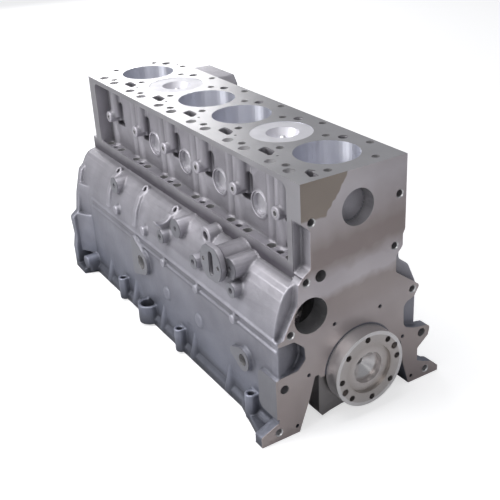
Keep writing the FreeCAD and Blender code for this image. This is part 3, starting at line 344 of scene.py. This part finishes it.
def turned_metal(name, colour, roughness, axis="X", stops=None, pitch=250.0):
    """Turned metal: fine rings about an axis, and greys of painted reflection and shade and a stretched
    sheen that follow the radius.
    """
    made, tree, shader = material(name, colour, 0.9, roughness)
    place = tree.nodes.new("ShaderNodeTexCoord")
    rings = tree.nodes.new("ShaderNodeTexWave")
    rings.wave_type = "RINGS"
    rings.rings_direction = axis
    rings.inputs["Scale"].default_value = pitch
    tree.links.new(place.outputs["Object"], rings.inputs["Vector"])
    speckle = noise(tree, place.outputs["Object"], 25.0, 2.0)
    tint = ramp(tree, speckle, ((0.3, shade(colour, 0.92)), (0.7, shade(colour, 1.06))))
    if stops is not None:
        flat = tree.nodes.new("ShaderNodeVectorMath")
        flat.operation = "MULTIPLY"
        flat.inputs[1].default_value = (0, 1, 1)
        away = tree.nodes.new("ShaderNodeVectorMath")
        away.operation = "LENGTH"
        tree.links.new(place.outputs["Object"], flat.inputs[0])
        tree.links.new(flat.outputs[0], away.inputs[0])
        radius = spread(tree, away.outputs["Value"], 0.0, 10.0)
        # Painted reflection and shade: greys that follow the radius
        share = ramp(tree, radius, [(at, (part,) * 3) for at, part, _ in stops])
        tint = blended(tree, share, tint, ramp(tree, radius, [(at, tone) for at, _, tone in stops]))
        tangent = tree.nodes.new("ShaderNodeTangent")
        tangent.direction_type = "RADIAL"
        tangent.axis = axis
        tree.links.new(tangent.outputs["Tangent"], shader.inputs["Tangent"])
        shader.inputs["Anisotropic"].default_value = 0.6
        shader.inputs["Anisotropic Rotation"].default_value = 0.25
    tree.links.new(tint, shader.inputs["Base Color"])
    polish = spread(tree, rings.outputs["Fac"], roughness - 0.04, roughness + 0.04)
    tree.links.new(polish, shader.inputs["Roughness"])
    return made


# The last grey is the painted shade low down on the block
casting_metal = cast_metal("casting", (0.44, 0.425, 0.46), 1.0, (0.24, 0.25, 0.30))
deck_metal = machined_metal("deck", (0.57, 0.56, 0.575), 0.34, (0.15, 1, 1))
face_metal = machined_metal("machined_face", (0.30, 0.30, 0.325), 0.44, (1, 0.2, 0.2))
rear_face_metal = rear_metal("rear_face")
cover_face_metal = cover_metal("cover_face")
edge_metal = machined_metal("hole_mouth", (0.80, 0.80, 0.80), 0.30)
hole_metal = machined_metal("hole", (0.62, 0.61, 0.62), 0.42)
bore_metal = honed_metal("honed_bore", (0.74, 0.75, 0.82), 0.46)
# Flange's painted reflection and shade, by tenths of a metre from the axis: share of the second grey, and
# that grey
flange_reflection_shade = (
    (0.12, 0.0, (0.8, 0.8, 0.8)),
    (0.28, 0.8, (0.62, 0.57, 0.55)),
    (0.40, 1.0, (0.52, 0.48, 0.455)),
    (0.45, 1.0, (0.55, 0.51, 0.49)),
    (0.585, 1.0, (0.58, 0.545, 0.53)),
    (0.60, 0.0, (0.9, 0.9, 0.9)),
)
steel = turned_metal("turned_steel", (0.80, 0.78, 0.78), 0.30, "X", flange_reflection_shade)
forged = cast_metal("forged_steel", (0.26, 0.25, 0.25), 0.7)
piston_metal = turned_metal("piston_crown", (0.82, 0.81, 0.85), 0.55, "Z")
cap_metal = machined_metal("cap_iron", (0.30, 0.285, 0.285), 0.42)
dark_steel = machined_metal("dark_steel", (0.10, 0.10, 0.105), 0.42)
plug_metal = machined_metal("plug_steel", (0.60, 0.59, 0.62), 0.34)
bush_metal = machined_metal("bush_bronze", (0.45, 0.33, 0.17), 0.38)
ring_metal = machined_metal("ring_iron", (0.20, 0.20, 0.21), 0.40)


# The block's materials in the order of their numbers
block_metals = (
    casting_metal,
    deck_metal,
    face_metal,
    hole_metal,
    bore_metal,
    edge_metal,
    rear_face_metal,
    cover_face_metal,
)


def paint(name, made):
    """Give a CAD node one material."""
    mesh = nodes[name].data
    mesh.materials.clear()
    mesh.materials.append(made)


def paint_nodes():
    """A material for every CAD node that stays in view."""
    plain = {
        "crankshaft": steel,
        "crank_gear": dark_steel,
        "cam_bushing": bush_metal,
        "core_plugs": plug_metal,
        "upper_main_shells": plug_metal,
        "lower_main_shells": plug_metal,
        "upper_rod_shells": plug_metal,
        "lower_rod_shells": plug_metal,
        "thrust_washers": plug_metal,
        "main_cap_bolts": dark_steel,
        "rod_bolts": dark_steel,
        "small_end_bushes": bush_metal,
        "pin_circlips": dark_steel,
        "top_rings": ring_metal,
        "second_rings": ring_metal,
        "oil_rings": ring_metal,
    }
    begins = {
        "main_cap_": cap_metal,
        "connecting_rod_": forged,
        "rod_cap_": forged,
        "piston_pin_": steel,
        "piston_": piston_metal,
    }
    for name in nodes:
        made = plain.get(name)
        if made is None:
            made = next((m for start, m in begins.items() if name.startswith(start)), None)
        if made is not None:
            paint(name, made)


# The block: a cast skin under thin machined faces
def merged_block():
    """The block's mesh with its faces joined at their edges, as a new object."""
    mesh = nodes["cylinder_block"].data.copy()
    work = bmesh.new()
    work.from_mesh(mesh)
    bmesh.ops.remove_doubles(work, verts=work.verts, dist=merge_distance)
    work.to_mesh(mesh)
    work.free()
    made = bpy.data.objects.new("block_work", mesh)
    bpy.context.scene.collection.objects.link(made)
    return made


def applied(obj, *steps):
    """Mesh of obj after modifiers given as (kind, settings)."""
    for kind, settings in steps:
        modifier = obj.modifiers.new(kind.lower(), kind)
        for key, value in settings.items():
            setattr(modifier, key, value)
    graph = bpy.context.evaluated_depsgraph_get()
    mesh = bpy.data.meshes.new_from_object(obj.evaluated_get(graph))
    obj.modifiers.clear()
    return mesh


def new_piece(name, mesh):
    made = bpy.data.objects.new(name, mesh)
    bpy.context.scene.collection.objects.link(made)
    return made


def triangles(mesh):
    """Corner places, normals and centres of a mesh's triangles."""
    mesh.calc_loop_triangles()
    places = np.zeros(len(mesh.vertices) * 3)
    mesh.vertices.foreach_get("co", places)
    places = places.reshape(-1, 3)
    corners = np.zeros(len(mesh.loop_triangles) * 3, dtype=np.int64)
    mesh.loop_triangles.foreach_get("vertices", corners)
    corners = corners.reshape(-1, 3)
    a, b, c = places[corners[:, 0]], places[corners[:, 1]], places[corners[:, 2]]
    normals = np.cross(b - a, c - a)
    normals /= np.maximum(np.linalg.norm(normals, axis=1), 1e-18)[:, None]
    return places, corners, normals, (a + b + c) / 3


def on_plane(shape, axis, place):
    """Triangles that lie on the plane through place and face along axis."""
    places, corners, normals, centres = shape
    axis = np.array(axis, float)
    level = (centres - np.array(place, float)) @ axis
    return (normals @ axis > 0.999) & (np.abs(level) < face_match)


def on_cylinder(shape, axis, place, radius, low=-1.0, high=1.0):
    """Triangles of a hole's wall: all corners one radius from the axis, between two stations along it."""
    places, corners, normals, centres = shape
    axis = np.array(axis, float)
    offset = places - np.array(place, float)
    along = offset @ axis
    away = np.linalg.norm(offset - along[:, None] * axis, axis=1)
    fits = np.abs(away - radius) < face_match
    station = (centres - np.array(place, float)) @ axis
    inward = np.abs(normals @ axis) < 0.1
    return fits[corners].all(axis=1) & inward & (station > low) & (station < high)


def hole_mouth(shape, axis, place, radius):
    """Triangles of the bevel round a hole's mouth, just outside the place where its wall starts."""
    places, corners, normals, centres = shape
    axis = np.array(axis, float)
    offset = centres - np.array(place, float)
    along = offset @ axis
    away = np.linalg.norm(offset - along[:, None] * axis, axis=1)
    slanted = np.abs(normals @ axis - 0.7) < 0.2
    return slanted & (away < radius + mouth_width) & (along > 0) & (along < mouth_depth)


def pattern_places(mount):
    """Hole centres of a straight bolt pattern."""
    place = np.array(mount["pos_m"])
    axis = np.abs(np.array(mount["axis"]))
    dims = mount["dims"]
    first, second = [np.eye(3)[k] for k in range(3) if axis[k] < 0.5]
    across = dims.get("spacing_x_mm", 0) / 2 * MM
    up = dims.get("spacing_y_mm", 0) / 2 * MM
    return [place + i * across * first + j * up * second for i in (-1, 1) for j in (-1, 1)]


# Planes of the machined faces: the way each one faces, and a place on it
flat_levels = {
    "deck": ((0, 0, 1), (0, 0, 0.326)),
    "rail": ((0, 0, -1), (0, 0, -0.084)),
    "rear": ((1, 0, 0), (0, 0, 0)),
    "front": ((-1, 0, 0), (-0.755, 0, 0)),
    "chamber": ((0, -1, 0), (0, -0.1046, 0)),
    "pump": ((0, -1, 0), (0, -0.166, 0)),
    "pads": ((0, -1, 0), (0, -0.159, 0)),
    "low_bosses": ((0, -1, 0), (0, -0.157, 0)),
    "bosses": ((0, -1, 0), (0, -0.146, 0)),
    "rear_boss": ((0, -1, 0), (0, -0.152, 0)),
    "cooler": ((0, 1, 0), (0, 0.132, 0)),
    "mounts": ((0, 1, 0), (0, 0.134, 0)),
}


def machined_choice(shape):
    """Material number of each machined triangle, or 0 where the surface stays as cast."""
    choice = np.zeros(len(shape[1]), dtype=np.int64)
    for mount in mounts.values():
        axis = mount["axis"]
        radius = mount["dims"].get("hole_r_mm", mount["dims"].get("r_mm", 0)) * MM
        if mount["kind"] in ("bore", "threaded_hole"):
            wall = on_cylinder(shape, axis, mount["pos_m"], radius, -hole_wall_reach, hole_wall_reach)
            choice[wall] = HOLE
            choice[hole_mouth(shape, axis, mount["pos_m"], radius)] = MOUTH
        elif mount["kind"] == "bolt_pattern" and "pcd_mm" not in mount["dims"]:
            for place in pattern_places(mount):
                choice[on_cylinder(shape, axis, place, radius, -hole_wall_reach, hole_wall_reach)] = HOLE
    for number in range(1, 7):
        low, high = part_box("piston_%d" % number)
        place = ((low.x + high.x) / 2, 0, 0)
        choice[on_cylinder(shape, (0, 0, 1), place, bore_radius)] = BORE
    choice[on_cylinder(shape, (1, 0, 0), (0, 0, 0), main_bore_radius)] = BORE
    cam = mounts["cam_bore_rear"]
    choice[on_cylinder(shape, cam["axis"], cam["pos_m"], cam["dims"]["r_mm"] * MM)] = HOLE
    for name, (axis, place) in flat_levels.items():
        flat = on_plane(shape, axis, place)
        if axis[1] != 0:
            flat &= shape[3][:, 2] > side_faces_bottom
        choice[flat] = {"deck": DECK, "rear": REAR, "chamber": COVER}.get(name, FACE)
    return choice


def machined_faces(work):
    """The machined faces as thin plates, lying where the CAD solid has them."""
    shape = triangles(work.data)
    choice = machined_choice(shape)
    kept = np.nonzero(choice)[0]
    corners = shape[1][kept]
    used, renamed = np.unique(corners, return_inverse=True)
    mesh = bpy.data.meshes.new("block_machined")
    mesh.from_pydata(shape[0][used].tolist(), [], renamed.reshape(-1, 3).tolist())
    for made in block_metals:
        mesh.materials.append(made)
    mesh.polygons.foreach_set("material_index", choice[kept].astype(np.int32))
    mesh.update()
    tree = BVHTree.FromPolygons(shape[0][used].tolist(), renamed.reshape(-1, 3).tolist())
    sheet = new_piece("block_sheet", mesh)
    plates = applied(sheet, ("SOLIDIFY", {"thickness": plate_depth, "offset": -1.0}))
    bpy.data.objects.remove(sheet)
    return new_piece("block_machined", plates), tree


def cast_skin(work, tree):
    """The whole casting with soft edges, drawn back a little under the machined faces."""
    rounded = applied(
        work,
        ("REMESH", {"mode": "VOXEL", "voxel_size": voxel}),
        ("SMOOTH", {"factor": smooth_share, "iterations": smooth_rounds}),
    )
    work.data = rounded
    share = skin_triangles / (2.0 * len(rounded.polygons))
    mesh = applied(work, ("DECIMATE", {"ratio": share, "use_collapse_triangulate": True}))
    for vertex in mesh.vertices:
        spot, normal, _, _ = tree.find_nearest(vertex.co, plate_depth)
        if spot is not None:
            level = (vertex.co - spot).dot(normal)
            if level > -skin_sink:
                vertex.co -= normal * (level + skin_sink)
    mesh.materials.clear()
    mesh.materials.append(casting_metal)
    for polygon in mesh.polygons:
        polygon.use_smooth = True
    return new_piece("block_casting", mesh)


def build_block():
    work = merged_block()
    plates, tree = machined_faces(work)
    skin = cast_skin(work, tree)
    bpy.data.objects.remove(work)
    for piece in (plates, skin):
        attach(piece, "root")
    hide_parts("cylinder_block")


# Stage, light and camera
def add_camera():
    """The photograph's camera."""
    a, e = camera_azimuth, camera_elevation
    back = Vector((math.sin(a) * math.cos(e), -math.cos(a) * math.cos(e), math.sin(e)))
    level = Vector((math.cos(a), math.sin(a), 0))
    up = back.cross(level)
    c, s = math.cos(camera_roll), math.sin(camera_roll)
    right = c * level + s * up
    top = c * up - s * level
    data = bpy.data.cameras.new("camera")
    data.lens = lens
    data.sensor_width = sensor_width
    data.clip_start = 0.01
    data.clip_end = 50
    made = bpy.data.objects.new("camera", data)
    made.matrix_world = Matrix(
        (
            (right.x, top.x, back.x, camera_place.x),
            (right.y, top.y, back.y, camera_place.y),
            (right.z, top.z, back.z, camera_place.z),
            (0, 0, 0, 1),
        )
    )
    bpy.context.scene.collection.objects.link(made)
    bpy.context.scene.camera = made


def add_lamp(name, place, size, power):
    """A large soft lamp that points at the engine."""
    data = bpy.data.lights.new(name, "AREA")
    data.shape = "RECTANGLE"
    data.size, data.size_y = size
    data.energy = power
    made = bpy.data.objects.new(name, data)
    made.location = place
    direction = Vector(lamp_aim) - Vector(place)
    made.rotation_mode = "QUATERNION"
    made.rotation_quaternion = direction.to_track_quat("-Z", "Y")
    bpy.context.scene.collection.objects.link(made)


def add_floor():
    """Pale floor that shows white to the camera and keeps a soft shadow."""
    made, tree, shader = material("floor", (0.62, 0.62, 0.63), 0.0, 0.9)
    path = tree.nodes.new("ShaderNodeLightPath")
    glow = tree.nodes.new("ShaderNodeMath")
    glow.operation = "MULTIPLY"
    glow.inputs[1].default_value = floor_glow
    tree.links.new(path.outputs["Is Camera Ray"], glow.inputs[0])
    shader.inputs["Emission Color"].default_value = (1, 1, 1, 1)
    tree.links.new(glow.outputs[0], shader.inputs["Emission Strength"])
    level = cad_low.z - floor_gap
    signs = ((-1, -1), (1, -1), (1, 1), (-1, 1))
    corners = [(i * floor_half, j * floor_half, level) for i, j in signs]
    mesh = bpy.data.meshes.new("floor")
    mesh.from_pydata(corners, [], [(0, 1, 2, 3)])
    mesh.materials.append(made)
    new_piece("floor", mesh)


def add_world():
    """Soft pale surroundings, white where the camera sees them."""
    world = bpy.data.worlds.new("surroundings")
    world.use_nodes = True
    tree = world.node_tree
    light = tree.nodes["Background"]
    light.inputs["Color"].default_value = (0.93, 0.95, 1.0, 1)
    light.inputs["Strength"].default_value = world_strength
    white = tree.nodes.new("ShaderNodeBackground")
    white.inputs["Color"].default_value = (1, 1, 1, 1)
    path = tree.nodes.new("ShaderNodeLightPath")
    mix = tree.nodes.new("ShaderNodeMixShader")
    tree.links.new(path.outputs["Is Camera Ray"], mix.inputs[0])
    tree.links.new(light.outputs[0], mix.inputs[1])
    tree.links.new(white.outputs[0], mix.inputs[2])
    tree.links.new(mix.outputs[0], tree.nodes["World Output"].inputs["Surface"])
    bpy.context.scene.world = world


paint_nodes()
build_block()
add_camera()
add_world()
add_floor()
for lamp, (place, size, power) in lamps.items():
    add_lamp(lamp, place, size, power)
bpy.context.scene.view_settings.view_transform = "Standard"
